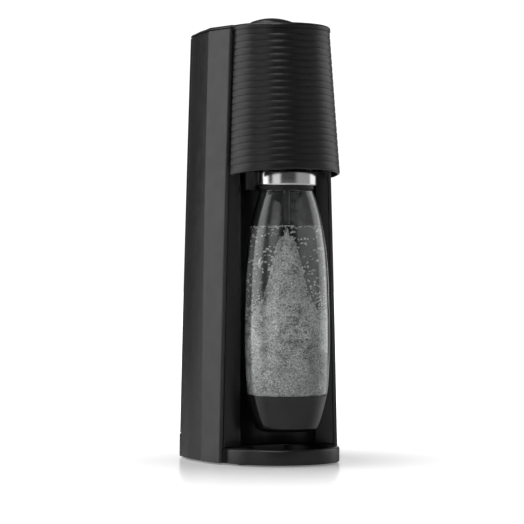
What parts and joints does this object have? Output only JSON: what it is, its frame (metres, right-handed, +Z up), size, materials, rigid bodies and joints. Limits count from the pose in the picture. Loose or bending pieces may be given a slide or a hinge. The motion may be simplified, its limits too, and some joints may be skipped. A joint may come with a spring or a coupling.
{
  "type": "soda carbonator",
  "caption": "Slim upright gas-powered soda carbonator with a ribbed half-round head, push button, tilting bottle holder, clear bottle and lift-out drip tray.",
  "frame": {"origin": "middle of the footprint, on the worktop plane under the feet", "axes": "+Z up; +X to the machine's own left-right axis, positive to a viewer's right facing the bottle; -Y is the front, where the bottle stands"},
  "size_m": [0.14, 0.1826, 0.4415],
  "materials": {
    "satin_black": "satin moulded ABS, very dark, soft sheen",
    "panel_grey": "satin moulded ABS, dark grey",
    "inner_black": "matt moulded plastic",
    "chrome": "polished plated trim",
    "steel": "zinc-plated steel",
    "brass": "turned brass",
    "rubber": "matt rubber",
    "clear_plastic": "clear blow-moulded bottle plastic",
    "cylinder_paint": "satin blue paint on a drawn cylinder",
    "nozzle_grey": "smooth grey plastic",
    "release_grey": "fine-textured grey plastic"
  },
  "bodies": {
    "housing": {"base_tub": "satin_black", "rear_base": "satin_black", "base_plate": "inner_black", "foot_1": "rubber", "foot_2": "rubber", "foot_3": "rubber", "foot_4": "rubber", "base_screw_1": "steel", "base_screw_2": "steel", "base_screw_3": "steel", "base_screw_4": "steel", "cover_hinge_pin": "steel", "cylinder_seat": "rubber", "side_panel_right": "panel_grey", "side_panel_left": "panel_grey", "rear_shell_right": "satin_black", "rear_shell_left": "satin_black", "front_column": "satin_black", "top_cover": "satin_black", "latch_spring": "steel", "head_shell": "satin_black", "head_underside": "inner_black", "head_frame": "inner_black", "button_well": "inner_black", "button_spring": "steel", "actuator_pin": "steel", "mechanism_plate": "steel", "valve_block": "steel", "plunger_seal": "rubber", "relief_valve": "brass", "hose_fitting": "brass", "hose_elbow": "inner_black", "gas_hose": "rubber", "release_pin_right": "steel", "release_pin_left": "steel", "pivot_bracket_right": "steel", "pivot_bracket_left": "steel", "pivot_pin_right": "steel", "pivot_pin_left": "steel"},
    "tray": {"drip_tray": "satin_black"},
    "cover": {"rear_cover": "satin_black"},
    "latch": {"cover_latch": "satin_black"},
    "button": {"button_cap": "satin_black", "button_stem": "inner_black"},
    "actuator": {"actuator_lever": "steel"},
    "plunger": {"valve_plunger": "brass"},
    "release": {"release_lever": "release_grey"},
    "cylinder": {"gas_cylinder": "cylinder_paint", "cylinder_valve": "brass"},
    "holder": {"holder_yoke": "satin_black", "chrome_ring": "chrome", "neck_sleeve": "inner_black", "carbonation_block": "inner_black", "nozzle_tube": "nozzle_grey", "nozzle_tip": "inner_black", "bottle_seal": "rubber"},
    "bottle": {"bottle_shell": "clear_plastic", "bottle_cup": "satin_black"}
  },
  "joints": [
    {"name": "button_press", "type": "slide", "parent": "housing", "child": "button", "axis": [0, 0, -1], "range_m": [0, 0.007], "stiffness_N_per_m": 1500, "springref_m": -0.002, "deforming": ["button_spring"]},
    {"name": "actuator_swing", "type": "hinge", "parent": "housing", "child": "actuator", "pos_m": [0, 0.06435, 0.408], "axis": [1, 0, 0], "range_deg": [0, 5.4]},
    {"name": "plunger_slide", "type": "slide", "parent": "housing", "child": "plunger", "axis": [0, 0, -1], "range_m": [0, 0.0023]},
    {"name": "holder_tilt", "type": "hinge", "parent": "housing", "child": "holder", "pos_m": [0, -0.03765, 0.304], "axis": [-1, 0, 0], "range_deg": [0, 16]},
    {"name": "bottle_drop", "type": "slide", "parent": "holder", "child": "bottle", "axis": [0, 0, -1], "range_m": [0, 0.008]},
    {"name": "cover_swing", "type": "hinge", "parent": "housing", "child": "cover", "pos_m": [0, 0.08485, 0.0303], "axis": [-1, 0, 0], "range_deg": [0, 20]},
    {"name": "latch_press", "type": "slide", "parent": "housing", "child": "latch", "axis": [0, 0, -1], "range_m": [0, 0.003], "stiffness_N_per_m": 600, "springref_m": -0.001, "deforming": ["latch_spring"]},
    {"name": "release_swing", "type": "hinge", "parent": "housing", "child": "release", "pos_m": [0, 0.04035, 0.366], "axis": [1, 0, 0], "range_deg": [0, 70]},
    {"name": "cylinder_drop", "type": "slide", "parent": "housing", "child": "cylinder", "axis": [0, 0, -1], "range_m": [0, 0.004]},
    {"name": "tray_lift", "type": "slide", "parent": "housing", "child": "tray", "axis": [0, 0, 1], "range_m": [0, 0.006]}
  ],
  "couplings": [
    {"joint": "actuator_swing", "follows": "button_press", "rad_per_m": 13.245},
    {"joint": "plunger_slide", "follows": "button_press", "ratio": 0.31788},
    {"joint": "release_swing", "follows": "cylinder_drop", "rad_per_m": 305.43}
  ]
}
